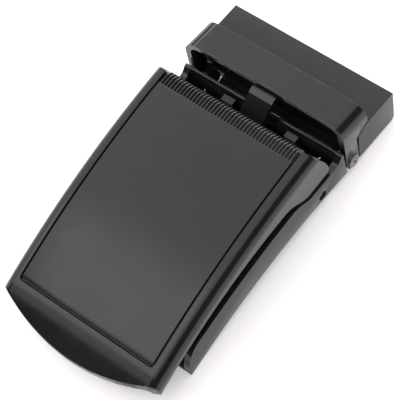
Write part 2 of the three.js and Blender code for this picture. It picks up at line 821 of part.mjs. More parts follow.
addMesh('base_frame', baseFrame(), 'black');
addMesh('face_surround', faceSurround(), 'black');
addMesh('face_panel', facePanel(), 'black');
rivetPlaces().forEach((place, i) => addMesh(`panel_rivet_${i + 1}`, panelRivet(place), 'inner'));
addMesh('pivot_pin', rod(pinRadius, pinY, pinZ, -pinEnd, pinEnd), 'steel');
addMesh('pawl', pawl(), 'inner');
const legEndY = frameBackY - crossWallThickness - springLegGap;
const pawlLegs = [[legEndY, pinZ - 0.6], [pinY + 3.4, pinZ + 3.2]];
addMesh('pawl_spring', torsionSpring(pawlCoilFrom, pawlCoilTo, ...pawlLegs, springTurns), 'steel');
const leverLegs = [[legEndY, pinZ + 0.4], [pinY - 3.6, pinZ + 1.4]];
for (const [side, label] of [[-1, 'left'], [1, 'right']]) {
  const coil = torsionSpring(side * leverCoilFrom, side * leverCoilTo, ...leverLegs, springTurns);
  addMesh(`lever_spring_${label}`, coil, 'steel');
  const sleeveFrom = side > 0 ? pawlCoilTo + springWire + stackGap : half + stackGap;
  const sleeve = span(side, sleeveFrom, sleeveTo);
  const sleeveRadii = [pinRadius + pinPlay + sleeveWall, pinRadius + pinPlay];
  addMesh(`pin_sleeve_${label}`, ring(...sleeveRadii, pinY, pinZ, ...sleeve), 'inner');
  addMesh(`hinge_screw_${label}`, hingeScrew(side), 'steel');
  addMesh(`hinge_washer_${label}`, hingeWasher(side), 'steel');
}
addMesh('keeper_loop', keeperLoop(), 'black');
addMesh('clip_shell', clipShell(), 'black');
addMesh('clip_jaw', clipJaw(), 'inner');
const jawPinEnd = outerHalf - clipSheet + jawPinSeat - jawPinEndGap;
addMesh('jaw_pin', rod(jawPinRadius, jawPinY(), jawPinZ(), -jawPinEnd, jawPinEnd, 16), 'steel');

// The origin stays at the middle of the box.
group.position.y = -(faceTipY + clipEndY) / 2;

export default group;
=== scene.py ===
"""Automatic slide buckle in satin black plate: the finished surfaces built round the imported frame.

Metres, in the frame's own axes: +X across the strap, +Y towards the clip, +Z out of the face.
Shapes are worked out in millimetres and scaled once, where a mesh is made.
"""
import json
import math

import bmesh
import bpy
from mathutils import Matrix, Vector


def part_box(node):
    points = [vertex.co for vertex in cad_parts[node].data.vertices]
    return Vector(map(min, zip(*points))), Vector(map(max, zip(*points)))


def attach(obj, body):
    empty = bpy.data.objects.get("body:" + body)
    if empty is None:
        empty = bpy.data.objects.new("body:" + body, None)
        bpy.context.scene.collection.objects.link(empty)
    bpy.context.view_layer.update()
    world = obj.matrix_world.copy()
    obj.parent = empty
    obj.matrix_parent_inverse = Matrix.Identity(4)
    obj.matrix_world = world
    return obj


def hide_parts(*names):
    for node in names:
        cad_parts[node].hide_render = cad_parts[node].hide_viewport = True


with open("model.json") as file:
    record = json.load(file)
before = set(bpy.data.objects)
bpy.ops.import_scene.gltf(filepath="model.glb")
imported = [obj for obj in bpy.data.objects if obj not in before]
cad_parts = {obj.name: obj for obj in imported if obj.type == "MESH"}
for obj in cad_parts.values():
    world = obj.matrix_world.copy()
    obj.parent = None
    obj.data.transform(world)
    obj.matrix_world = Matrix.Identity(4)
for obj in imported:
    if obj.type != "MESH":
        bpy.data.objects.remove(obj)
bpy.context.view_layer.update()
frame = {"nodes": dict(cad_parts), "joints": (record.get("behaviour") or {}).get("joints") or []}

MM = 0.001
NODES = frame["nodes"]
JOINTS = {joint["name"]: joint for joint in frame["joints"]}


def node_box(name):
    """A node's lowest and highest corners, in millimetres."""
    low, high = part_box(name)
    return [c / MM for c in low], [c / MM for c in high]


# ---- sizes read from the frame ----
SURROUND_LOW, SURROUND_HIGH = node_box("face_surround")
PANEL_LOW, PANEL_HIGH = node_box("face_panel")
FRAME_HIGH = node_box("base_frame")[1]
SCREW_LOW, SCREW_HIGH = node_box("hinge_screw_right")
PIN_Y, PIN_Z = (c / MM for c in JOINTS["face_press"]["pos_m"][1:])
SCREW_Y, SCREW_Z = (c / MM for c in JOINTS["clip_swing"]["pos_m"][1:])
FACE_HALF = SURROUND_HIGH[0]
PANEL_HALF = PANEL_HIGH[0]
FACE_TIP_Y = SURROUND_LOW[1]
OUTER_HALF = FRAME_HIGH[0]

# ---- the base frame, the pin and the springs ----
CROSS_WALL_Y = 23.44          # just in front of the cross wall
FRAME_TOP = 9.21              # the frame's back corner
WALL = 1.55
PAD_Z = 7.3                   # level faces above this stand up into the light
RIM = 0.12                    # the walls' top edge, which keeps the outer finish
PIN_RADIUS = 1.05
PIN_HOLE = PIN_RADIUS + 0.08
COIL_PLAY = 0.22              # between the pin and a spring's coil
WIRE_HALF = 0.28
WIRE_RADIUS = WIRE_HALF - 0.01
SPRING_TURNS = 3
LEG_SHORT = 0.5               # a spring's rear leg stops this far in front of the cross wall

# ---- the face's own form ----
CROWN_Y = PIN_Y + 1.1
CROWN_Z = PANEL_HIGH[2]
FACE_RADIUS = 160.0
GROOVE = 0.4
POCKET_HALF = PANEL_HALF + GROOVE
POCKET_FRONT = PANEL_LOW[1] - 0.8
POCKET_CORNER = 0.8
POCKET_END = CROWN_Y - 2.05   # where the web under the panel stops
POCKET_DEPTH = 1.0
LIP_FROM, LIP_TO = 0.2, 0.4   # the thin bead along the pocket's front, from the pocket's edge
WEB = 1.1
EDGE_ROUND = 0.13
SHOULDER_ACROSS = 2.6
SHOULDER_DOWN = 2.9
TIP_SAGITTA = 4.7
TIP_ROLL = 5.9
TIP_ROLL_DROP = 1.6
SKIRT_WALL = 1.62
SKIRT_LEAN = 0.03
SKIRT_CROWN_Y, SKIRT_CROWN_Z, SKIRT_RADIUS = PIN_Y - 17.0, 13.12, 96.0
SKIRT_TURN_Y = PIN_Y - 9.5    # where the skirt's low edge leaves its arch
EAR_FRONT_Y = PIN_Y - 2.7
EAR_Z = 8.66
SHOULDER_CORE = 3.0           # the wall under the shoulder starts this far in from the side
SHOULDER_CORE_DROP = 2.0
SKIRT_ROOT = 1.2              # the hollow behind the skirt starts this far below the shoulder
LEAST_SKIRT = 0.6
LEAST_WALL = 0.4
UNDER_ROLL = 0.6              # the underside follows this share of the tip's roll
TIP_SOLID = 0.35              # share of the tip's rows where its corners are solid
BEFORE_POCKET = 1.1           # the close rows in front of the pocket
LUG_FROM, LUG_TO = 17.7, 18.8
LUG_HUB = 1.88
GRIP_START = 13.8             # where the ridges begin
GRIP_ROLL = 2.45
GRIP_END_Z = CROWN_Z - 3.8
RIDGES = 42
RIDGE_HEIGHT = 0.42
RIDGE_HALF_SHARE = 0.34       # of the pitch
START_RISE = 0.8              # the ridges' first ends are lower
PANEL_THICKNESS = POCKET_DEPTH - 0.12
PANEL_GAP = 0.2               # between the bead and the panel
PANEL_EDGE = 0.1


# ---- small helpers ----
def arch_z(y, crown_y=CROWN_Y, crown_z=CROWN_Z, radius=FACE_RADIUS):
    return crown_z - radius + math.sqrt(radius ** 2 - (y - crown_y) ** 2)


def face_point(x, y, lift):
    """The point at (x, y) on the face's arch, moved out from its centre by `lift`."""
    return (x, y, arch_z(y, CROWN_Y, CROWN_Z + lift, FACE_RADIUS + lift))


def ease(low, high, value):
    t = min(1.0, max(0.0, (value - low) / (high - low)))
    return t * t * (3 - 2 * t)


def steps(start, stop, count):
    return [start + (stop - start) * i / count for i in range(count + 1)]


def curve_points(a, b, c, d, count):
    """Points on a cubic curve from a to d, with b and c as its handles."""
    points = []
    for t in steps(0, 1, count):
        weights = ((1 - t) ** 3, 3 * t * (1 - t) ** 2, 3 * t * t * (1 - t), t ** 3)
        points.append(tuple(sum(w * p[k] for w, p in zip(weights, (a, b, c, d))) for k in (0, 1)))
    return points


def arc_points(y, z, radius, start, stop, count):
    turns = [math.radians(a) for a in steps(start, stop, count)]
    return [(y + radius * math.cos(a), z + radius * math.sin(a)) for a in turns]


def between(value, table):
    """The value read off a short table of (place, value), with straight runs between."""
    if value <= table[0][0]:
        return table[0][1]
    for (low, first), (high, second) in zip(table, table[1:]):
        if value <= high:
            return first + (second - first) * (value - low) / (high - low)
    return table[-1][1]


def new_object(name, vertices, faces, material=None):
    mesh = bpy.data.meshes.new(name)
    mesh.from_pydata([Vector(v) * MM for v in vertices], [], faces)
    mesh.validate()
    obj = bpy.data.objects.new(name, mesh)
    bpy.context.scene.collection.objects.link(obj)
    if material:
        mesh.materials.append(material)
    return obj


def edit(obj, change):
    work = bmesh.new()
    work.from_mesh(obj.data)
    change(work)
    work.to_mesh(obj.data)
    work.free()
    return obj


def face_outwards(obj, merge=0.002):
    def change(work):
        bmesh.ops.remove_doubles(work, verts=work.verts, dist=merge * MM)
        bmesh.ops.recalc_face_normals(work, faces=work.faces)
    return edit(obj, change)


def apply_modifiers(obj):
    graph = bpy.context.evaluated_depsgraph_get()
    mesh = bpy.data.meshes.new_from_object(obj.evaluated_get(graph), depsgraph=graph)
    obj.modifiers.clear()
    old = obj.data
    obj.data = mesh
    if old.users == 0:
        bpy.data.meshes.remove(old)
    return obj


def smooth(obj, angle=35):
    for face in obj.data.polygons:
        face.use_smooth = True
    obj.data.set_sharp_from_angle(angle=math.radians(angle))
    return obj


def bevelled(obj, width, segments=2, angle=32):
    modifier = obj.modifiers.new("edge", "BEVEL")
    modifier.width = width * MM
    modifier.segments = segments
    modifier.limit_method = "ANGLE"
    modifier.angle_limit = math.radians(angle)
    modifier.use_clamp_overlap = True
    modifier.harden_normals = False
    return apply_modifiers(obj)


def combined(obj, other, operation):
    """Joins or cuts one closed piece with another, which is used up."""
    modifier = obj.modifiers.new("cut", "BOOLEAN")
    modifier.operation = operation
    modifier.solver = "EXACT"
    modifier.object = other
    apply_modifiers(obj)
    bpy.data.objects.remove(other)
    return obj


def put(obj, body, slot, material, *replaced):
    obj.data.materials.clear()
    obj.data.materials.append(material)
    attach(obj, body)
    if replaced:
        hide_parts(*replaced)
    return obj


def across(name, outline, low_x, high_x, cuts=1):
    """A closed side outline of (y, z) drawn out across X."""
    xs = steps(low_x, high_x, cuts)
    vertices = [(x, y, z) for x in xs for y, z in outline]
    count = len(outline)
    faces = [list(range(count))[::-1], [cuts * count + i for i in range(count)]]
    for k in range(cuts):
        for i in range(count):
            j = (i + 1) % count
            faces.append([k * count + i, k * count + j, (k + 1) * count + j, (k + 1) * count + i])
    return face_outwards(new_object(name, vertices, faces))


def turned(name, profile, sides=40):
    """A closed profile of (distance along X, radius) turned about X."""
    count = len(profile)
    vertices = []
    for i in range(sides):
        a = 2 * math.pi * i / sides
        vertices += [(x, r * math.cos(a), r * math.sin(a)) for x, r in profile]
    faces = []
    for i in range(sides):
        j = (i + 1) % sides
        for k in range(count):
            m = (k + 1) % count
            faces.append([i * count + k, j * count + k, j * count + m, i * count + m])
    return face_outwards(new_object(name, vertices, faces), 0.0005)


# ---- camera, floor and light ----
WARM = (1.0, 0.94, 0.99)
PLAIN = (1.0, 1.0, 1.0)
LAMPS = (
    # name, place, aim and size in metres, how bright its face is, tint
    ("overhead", (-0.30, 0.25, 0.70), (-0.30, 0.25, 0), (1.8, 1.4), 1.4, WARM),
    ("end_light", (-0.26, -0.43, 0.62), (-0.26, -0.43, 0), (0.9, 0.62), 1.15, WARM),
    ("left_panel", (-1.4, 0.0, 0.45), (0, 0, 0.05), (1.4, 0.6), 1.4, WARM),
    ("back_wall", (-0.5, 1.35, 0.42), (0, 0, 0.1), (2.0, 0.7), 4.0, PLAIN),
    ("front_fill", (0.1, -1.3, 0.4), (0, 0, 0), (1.2, 0.4), 0.6, WARM),
)
WORLD_STRENGTH = 0.06


def look():
    """The camera stands off to the right of the curved end, high over the face."""
    place = Vector((160.85, -104.92, 351.60))
    right = Vector((0.776285, 0.605830, -0.174217))
    back = Vector((0.405431, -0.268198, 0.873897))
    up = back.cross(right)
    data = bpy.data.cameras.new("view")
    data.sensor_width = 36.0
    data.lens = 173.1
    data.clip_start = 0.01
    camera = bpy.data.objects.new("view", data)
    turn = Matrix((right, up, back)).transposed().to_4x4()
    camera.matrix_world = Matrix.Translation(place * MM) @ turn
    bpy.context.scene.collection.objects.link(camera)
    bpy.context.scene.camera = camera


def soft_light(name, place, aim, size, radiance, tint):
    """A rectangular lamp, given by how bright its face is."""
    data = bpy.data.lights.new(name, "AREA")
    data.shape = "RECTANGLE"
    data.size, data.size_y = size
    data.energy = radiance * math.pi * size[0] * size[1]
    data.color = tint
    light = bpy.data.objects.new(name, data)
    direction = Vector(aim) - Vector(place)
    light.matrix_world = Matrix.Translation(place) @ direction.to_track_quat("-Z", "Y").to_matrix().to_4x4()
    bpy.context.scene.collection.objects.link(light)
    return light


def studio():
    """A wide white floor under large soft lamps, with a near-black surround."""
    reach = 3000
    corners = [(-reach, -reach, 0), (reach, -reach, 0), (reach, reach, 0), (-reach, reach, 0)]
    new_object("floor", corners, [(0, 1, 2, 3)], white_floor())
    for name, place, aim, size, radiance, tint in LAMPS:
        soft_light(name, place, aim, size, radiance, tint)
    world = bpy.data.worlds.new("studio")
    world.use_nodes = True
    world.node_tree.nodes["Background"].inputs["Color"].default_value = (1, 1, 1, 1)
    world.node_tree.nodes["Background"].inputs["Strength"].default_value = WORLD_STRENGTH
    bpy.context.scene.world = world
    bpy.context.scene.view_settings.view_transform = "Standard"


# ---- materials ----
def shader(name):
    material = bpy.data.materials.new(name)
    material.use_nodes = True
    tree = material.node_tree
    return material, tree, tree.nodes["Principled BSDF"]


def link(tree, source, target):
    tree.links.new(source, target)


def noise(tree, scale, detail=4.0, roughness=0.55, stretch=(1, 1, 1)):
    """Noise on the piece's own coordinates; scale is in cycles per millimetre."""
    place = tree.nodes.new("ShaderNodeTexCoord")
    turn = tree.nodes.new("ShaderNodeMapping")
    turn.inputs["Scale"].default_value = [s / MM for s in stretch]
    pattern = tree.nodes.new("ShaderNodeTexNoise")
    pattern.inputs["Scale"].default_value = scale
    pattern.inputs["Detail"].default_value = detail
    pattern.inputs["Roughness"].default_value = roughness
    link(tree, place.outputs["Object"], turn.inputs["Vector"])
    link(tree, turn.outputs["Vector"], pattern.inputs["Vector"])
    return pattern.outputs["Fac"]


def ranged(tree, value, low, high, from_low=0.35, from_high=0.65):
    node = tree.nodes.new("ShaderNodeMapRange")
    node.inputs["From Min"].default_value = from_low
    node.inputs["From Max"].default_value = from_high
    node.inputs["To Min"].default_value = low
    node.inputs["To Max"].default_value = high
    link(tree, value, node.inputs["Value"])
    return node.outputs["Result"]


def tones(tree, value, dark, light):
    node = tree.nodes.new("ShaderNodeMix")
    node.data_type = "RGBA"
    node.inputs["A"].default_value = (*dark, 1)
    node.inputs["B"].default_value = (*light, 1)
    link(tree, value, node.inputs["Factor"])
    return node.outputs["Result"]


def bumps(tree, value, distance, strength=0.3):
    node = tree.nodes.new("ShaderNodeBump")
    node.inputs["Strength"].default_value = strength
    node.inputs["Distance"].default_value = distance * MM
    link(tree, value, node.inputs["Height"])
    return node.outputs["Normal"]


def edge_mask(tree, radius):
    """1 on edges and corners, 0 on open faces: how far the rounded normal turns from the true one."""
    round_ = tree.nodes.new("ShaderNodeBevel")
    round_.samples = 4
    round_.inputs["Radius"].default_value = radius * MM
    true = tree.nodes.new("ShaderNodeNewGeometry")
    dot = tree.nodes.new("ShaderNodeVectorMath")
    dot.operation = "DOT_PRODUCT"
    link(tree, round_.outputs["Normal"], dot.inputs[0])
    link(tree, true.outputs["Normal"], dot.inputs[1])
    return ranged(tree, dot.outputs["Value"], 1, 0, 0.82, 0.985)


def coated(name, base, roughness, wear_and_highlight=0.5, grain=0.25, gloss=0.5):
    """Satin black coat: faint cloudiness, a fine cast grain, and edges painted lighter, partly real rubbing
    and partly a painted highlight along the bevels.
    """
    material, tree, surface = shader(name)
    cloud = noise(tree, 0.09, 3)
    body = tones(tree, ranged(tree, cloud, 0, 1), [c * 0.88 for c in base], [c * 1.12 for c in base])
    # Painted highlight and rubbing: the colour is lightened on the edges and corners that the bevel-node
    # mask finds.
    rub_and_highlight = tree.nodes.new("ShaderNodeMath")
    rub_and_highlight.operation = "MULTIPLY"
    link(tree, edge_mask(tree, 0.16), rub_and_highlight.inputs[0])
    link(tree, ranged(tree, noise(tree, 0.8, 5), 0.25, 1), rub_and_highlight.inputs[1])
    worn_and_highlit = tree.nodes.new("ShaderNodeMix")
    worn_and_highlit.data_type = "RGBA"
    worn_and_highlit.inputs["B"].default_value = (*[c + 0.045 * wear_and_highlight for c in base], 1)
    link(tree, rub_and_highlight.outputs["Value"], worn_and_highlit.inputs["Factor"])
    link(tree, body, worn_and_highlit.inputs["A"])
    link(tree, worn_and_highlit.outputs["Result"], surface.inputs["Base Color"])
    patches = noise(tree, 0.5, 5)
    link(tree, ranged(tree, patches, roughness - 0.03, roughness + 0.03), surface.inputs["Roughness"])
    link(tree, bumps(tree, noise(tree, 6.0, 4), 0.004, grain), surface.inputs["Normal"])
    surface.inputs["Metallic"].default_value = 0.0
    surface.inputs["IOR"].default_value = 1.47
    surface.inputs["Specular IOR Level"].default_value = gloss
    return material


def bare_metal(name, base, roughness, lay=(1, 12, 12)):
    """Bright metal with drawn or turned marks along one way, a little tarnish and fine bumps."""
    material, tree, surface = shader(name)
    marks = noise(tree, 1.4, 6, 0.7, lay)
    tarnish = ranged(tree, noise(tree, 0.6, 4), 0, 1)
    link(tree, tones(tree, tarnish, [c * 0.78 for c in base], base), surface.inputs["Base Color"])
    link(tree, ranged(tree, marks, roughness - 0.06, roughness + 0.1), surface.inputs["Roughness"])
    link(tree, bumps(tree, marks, 0.006, 0.35), surface.inputs["Normal"])
    surface.inputs["Metallic"].default_value = 1.0
    return material


def white_floor():
    material, tree, surface = shader("white_floor")
    paper = tones(tree, noise(tree, 0.004, 2), (0.88, 0.88, 0.88), (0.90, 0.90, 0.90))
    link(tree, paper, surface.inputs["Base Color"])
    surface.inputs["Roughness"].default_value = 0.95
    surface.inputs["Specular IOR Level"].default_value = 0.0
    surface.inputs["Emission Color"].default_value = (1, 1, 1, 1)
    surface.inputs["Emission Strength"].default_value = 0.36
    return material


BLACK = coated("satin_black_coat", (0.013, 0.0125, 0.013), 0.18)
# The keeper loop's copy of the coat with its edges painted far lighter: a painted highlight line along the
# hoop's edges.
HOOP_BLACK_HIGHLIT = coated("satin_black_hoop_highlit", (0.013, 0.0125, 0.013), 0.18, wear_and_highlight=6.5)
PANEL_BLACK = coated("satin_black_panel", (0.0135, 0.0125, 0.013), 0.22, wear_and_highlight=0.4, grain=0.18)
DARK_STEEL = coated("blackened_steel", (0.012, 0.012, 0.013), 0.20, wear_and_highlight=0.9, grain=0.4)
# A darker, duller copy of the coat, painted shade: it goes on the frame's channel, the pawl's root and the
# screw shanks, which lie in shadow.
PAINTED_SHADE_BLACK = coated("painted_shade_black", (0.006, 0.006, 0.006), 0.55, wear_and_highlight=0.2, grain=0.5, gloss=0.12)
SPRING_STEEL = bare_metal("spring_steel", (0.55, 0.54, 0.52), 0.28)
# Warm nickel with its base colour kept low: partly the metal's own warm tone, partly painted shade for
# screw heads that sit in shadow.
NICKEL = bare_metal("warm_nickel", (0.30, 0.28, 0.23), 0.34, (1, 1, 1))


# ---- face surround ----
def skirt_line():
    """The skirt's lower edge in side view: an arch, an S down to the ear, and the ear's level foot."""
    arch = [(y, arch_z(y, SKIRT_CROWN_Y, SKIRT_CROWN_Z, SKIRT_RADIUS))
            for y in steps(FACE_TIP_Y, SKIRT_TURN_Y, 40)]
    end = arch[-1]
    leaving = (end[0] + 2.5, end[1] - 0.8)
    arriving = (EAR_FRONT_Y - 2.7, EAR_Z + 0.25)
    fall = curve_points(end, leaving, arriving, (EAR_FRONT_Y, EAR_Z), 24)
    return arch + fall[1:] + [(PIN_Y + 5, EAR_Z)]


SKIRT_LINE = skirt_line()
BACK_LINE = [(EAR_Z, PIN_Y + 3.75), (CROWN_Z - 8.0, PIN_Y + 3.5), (CROWN_Z - 6.0, PIN_Y + 2.95),
             (CROWN_Z - 3.7, PIN_Y + 2.0), (CROWN_Z - 1.7, PIN_Y + 1.0), (CROWN_Z + 0.9, PIN_Y)]


def tip_y(x):
    """Where the face ends at the curved end, across its width."""
    radius = (FACE_HALF ** 2 + TIP_SAGITTA ** 2) / (2 * TIP_SAGITTA)
    return FACE_TIP_Y + radius - math.sqrt(radius ** 2 - min(abs(x), FACE_HALF) ** 2)


def tip_drop(y):
    """How far the top is rolled down towards the curved end."""
    return TIP_ROLL_DROP * max(0.0, (FACE_TIP_Y + TIP_ROLL - y) / TIP_ROLL) ** 1.6


def pocket_lift(x, y, inside):
    """The top's height in and round the pocket. `inside` picks the foot of the pocket's wall."""
    out = max(abs(x) - POCKET_HALF, POCKET_FRONT - y)
    if inside and out <= 1e-6:
        return -POCKET_DEPTH
    if out < EDGE_ROUND:
        return -(EDGE_ROUND - math.sqrt(max(0.0, EDGE_ROUND ** 2 - (EDGE_ROUND - max(out, 0.0)) ** 2)))
    return 0.0


def corner_eased(x, y):
    """Draws the square corners of the pocket's grid round into arcs, fading out just outside it."""
    u = x - (POCKET_HALF - POCKET_CORNER)
    v = POCKET_FRONT + POCKET_CORNER - y
    if u <= 0 or v <= 0:
        return x, y
    reach = max(u, v)
    share = 1 - ease(POCKET_CORNER + 0.25, POCKET_CORNER + 1.1, reach)
    scale = 1 + share * (reach / math.hypot(u, v) - 1)
    return POCKET_HALF - POCKET_CORNER + u * scale, POCKET_FRONT + POCKET_CORNER - v * scale


def surround_columns():
    """Half of the section across X, from the middle out, as (form, place, inside the pocket's wall)."""
    inner = [("top", x, True) for x in steps(0, POCKET_HALF - POCKET_CORNER, 10)]
    inner += [("top", POCKET_HALF - POCKET_CORNER * s, True) for s in (0.75, 0.5, 0.25, 0.0)]
    wall = [("top", POCKET_HALF + d, False) for d in (0.0, 0.02, 0.05, 0.09, 0.13, 0.24)]
    margin = [("top", x, False) for x in steps(POCKET_HALF + 0.24, FACE_HALF - SHOULDER_ACROSS, 2)[1:]]
    arc = [("arc", a, False) for a in steps(0, 90, 12)[1:]]
    side = [("side", s, False) for s in steps(0, 1, 14)[1:]]
    return inner + wall + margin + arc + side


def surround_rows():
    """Ways along the face as (kind, share or distance from the pocket's front), closer at its edge."""
    tip = [("tip", t) for t in steps(0, 1, 16)[:-1]]
    lip = [("before", d) for d in (0.9, 0.5, 0.24, 0.13, 0.09, 0.05, 0.02, 0.0)]
    wall = [("after", POCKET_CORNER * s) for s in (0.0, 0.25, 0.5, 0.75, 1.0)]
    body = [("body", t) for t in steps(0, 1, 72)[1:]]
    return tip + lip + wall + body


def surround_height(form, place):
    """About how high a column lies at the clip end, to find where the back edge cuts it."""
    if form == "top":
        return CROWN_Z
    if form == "arc":
        return CROWN_Z - SHOULDER_DOWN * (1 - math.cos(math.radians(place)))
    return CROWN_Z - SHOULDER_DOWN - place * (CROWN_Z - SHOULDER_DOWN - EAR_Z)


def row_place(kind, value, form, place, x, inside):
    """The y of one grid point."""
    start = tip_y(x)
    before = max(POCKET_FRONT - BEFORE_POCKET, start + LEAST_WALL)
    first = before + BEFORE_POCKET
    if kind == "tip":
        return start + (before - start) * value
    if kind == "before":
        return first - value
    if kind == "after":
        return first + value
    body = first + POCKET_CORNER
    last = POCKET_END if form == "top" and inside else between(surround_height(form, place), BACK_LINE)
    return body + (last - body) * value


def surround_point(kind, value, form, place, inside):
    """The outer point and the inner point of the cast's wall at one place of the grid."""
    in_pocket = inside and kind in ("after", "body")
    if form == "top":
        x = place
    elif form == "arc":
        x = FACE_HALF - SHOULDER_ACROSS * (1 - math.sin(math.radians(place)))
    else:
        x = FACE_HALF
    y = row_place(kind, value, form, place, x, inside)
    drop = tip_drop(y)
    if form == "top":
        lift = pocket_lift(x, y, in_pocket)
        if tip_y(x) < POCKET_FRONT - 2:
            x, y = corner_eased(x, y)
        top = face_point(x, y, lift)
        under = face_point(x, y, -POCKET_DEPTH - WEB)
        return (top[0], top[1], top[2] - drop), (under[0], under[1], under[2] - UNDER_ROLL * drop)
    solid = 1 - ease(0, TIP_SOLID, value) if kind == "tip" else 0.0
    near_tip = 1 - value if kind == "tip" else 0.0
    foot = between(y, SKIRT_LINE)
    if form == "arc":
        share = place / 90
        down = SHOULDER_DOWN * (1 - math.cos(math.radians(place)))
        top = face_point(x, y, -down)
        under = face_point(x, y, -POCKET_DEPTH - WEB - SHOULDER_CORE_DROP * ease(0.2, 1, share))
        inner_x = min(x, FACE_HALF - SHOULDER_CORE + (SHOULDER_CORE - SKIRT_WALL) * ease(0, 1, share))
        top_z = top[2] - drop * math.cos(math.radians(place))
        inner_y = y + near_tip * (tip_y(inner_x) - tip_y(x))
        inner_z = min(under[2] - UNDER_ROLL * drop * (1 - share), top_z - LEAST_WALL)
        web_z = face_point(x, y, -POCKET_DEPTH - WEB)[2] - UNDER_ROLL * drop
        solid_z = web_z + (foot - web_z) * share
        return (x, y, top_z), (inner_x, inner_y, inner_z + solid * (solid_z - inner_z))
    high = face_point(x, y, -SHOULDER_DOWN)[2]
    low = min(foot, high - LEAST_SKIRT)
    z = high + (low - high) * place
    reach = FACE_HALF - SKIRT_LEAN * (high - z)
    inner_high = high - SKIRT_ROOT
    inner_z = max(low, inner_high + (low - inner_high) * place)
    inner_z += solid * (low - inner_z)
    if place == 1:
        inner_z = min(inner_z, z)
    inner_x = reach - SKIRT_WALL
    inner_y = y + near_tip * (tip_y(inner_x) - tip_y(FACE_HALF))
    return (reach, y, z), (inner_x, inner_y, inner_z)


def surround_cast():
    columns = surround_columns()
    rows = surround_rows()
    count = len(columns)
    vertices, faces = [], []
    for layer in (0, 1):
        for flip in (1, -1):
            for kind, value in rows:
                for form, place, inside in columns:
                    x, y, z = surround_point(kind, value, form, place, inside)[layer]
                    vertices.append((flip * x, y, z))

    def index(layer, side, r, c):
        return ((layer * 2 + side) * len(rows) + r) * count + c

    for side in (0, 1):
        for layer in (0, 1):
            for r in range(len(rows) - 1):
                for c in range(count - 1):
                    faces.append([index(layer, side, r, c), index(layer, side, r, c + 1),
                                  index(layer, side, r + 1, c + 1), index(layer, side, r + 1, c)])
        for c in range(count - 1):
            for r in (0, len(rows) - 1):
                faces.append([index(0, side, r, c), index(0, side, r, c + 1),
                              index(1, side, r, c + 1), index(1, side, r, c)])
        for r in range(len(rows) - 1):
            c = count - 1
            faces.append([index(0, side, r, c), index(1, side, r, c),
                          index(1, side, r + 1, c), index(0, side, r + 1, c)])
    cast = face_outwards(new_object("face_surround_cast", vertices, faces), 0.004)
    return bevelled(cast, 0.13, 2, 50)


def lug_line():
    """A lug's side outline: a curved front down to the hub round the pin, and the ear's back edge."""
    roots = (PIN_Y - 8.0, CROWN_Z - 4.5), (PIN_Y + 1.1, CROWN_Z - 2.3)
    front = (PIN_Y - 6.2, EAR_Z + 2.9), (PIN_Y - 4.6, EAR_Z + 0.7)
    hub_front = (PIN_Y - 2.6, EAR_Z + 0.3), (PIN_Y - LUG_HUB * 0.98, PIN_Z + 0.4)
    ear_back = [(y, z) for z, y in BACK_LINE[1:4]]
    return [
        roots[0],
        *curve_points(*front, *hub_front, 12),
        *arc_points(PIN_Y, PIN_Z, LUG_HUB, 190, 350, 20),
        (PIN_Y + 3.65, EAR_Z),
        *ear_back,
        roots[1],
    ]


def face_surround():
    cast = surround_cast()
    for side in (-1, 1):
        low, high = sorted((side * LUG_FROM, side * LUG_TO))
        lug = across("lug", lug_line(), low, high)
        hole = across("hole", arc_points(PIN_Y, PIN_Z, PIN_HOLE, 0, 351, 39), low - 1, high + 1)
        lug = bevelled(combined(lug, hole, "DIFFERENCE"), 0.12, 2, 50)
        cast = combined(cast, lug, "UNION")
    return smooth(combined(cast, pocket_bead(), "UNION"), 38)


def pocket_bead():
    """The thin bead that stands in the groove along the pocket's front, a little below the face."""
    front, back = POCKET_FRONT + LIP_FROM, POCKET_FRONT + LIP_TO
    foot, side, top, chamfer, end_gap = -POCKET_DEPTH - 0.1, -0.1, -0.04, 0.05, 0.15
    outline = [(front, foot), (front, side), (front + chamfer, top),
               (back - chamfer, top), (back, side), (back, foot)]
    line = [(y, arch_z(y) + z) for y, z in outline]
    return across("bead", line, -PANEL_HALF + end_gap, PANEL_HALF - end_gap)


# ---- face panel and its grip ----
def panel_line():
    """The panel's top in side view, from its front edge round the rolled end, and the ridges' run of it."""
    out_y = PANEL_HIGH[1]
    bend_y = out_y - GRIP_ROLL
    flat = [(y, arch_z(y)) for y in steps(POCKET_FRONT + LIP_TO + PANEL_GAP, GRIP_START, 64)]
    grip = [(y, arch_z(y)) for y in steps(GRIP_START, bend_y, 5)[:-1]]
    grip += arc_points(bend_y, arch_z(bend_y) - GRIP_ROLL, GRIP_ROLL, 89.5, 0, 22)
    grip += [(out_y, z) for z in steps(arch_z(bend_y) - GRIP_ROLL, GRIP_END_Z, 3)[1:]]
    return flat, grip


def offset_line(line, depth):
    """The line moved square to itself, to its right as it is followed."""
    moved = []
    for i, (y, z) in enumerate(line):
        before = line[max(0, i - 1)]
        after = line[min(len(line) - 1, i + 1)]
        dy, dz = after[0] - before[0], after[1] - before[1]
        size = math.hypot(dy, dz)
        moved.append((y + depth * dz / size, z - depth * dy / size))
    return moved


def face_panel():
    flat, grip = panel_line()
    bed = offset_line(grip, RIDGE_HEIGHT)
    under = offset_line(flat + grip[1:], PANEL_THICKNESS)
    outline = flat + bed + under[::-1]
    sheet = across("face_panel_sheet", outline, -PANEL_HALF, PANEL_HALF)
    return smooth(bevelled(sheet, PANEL_EDGE, 2, 50), 30)


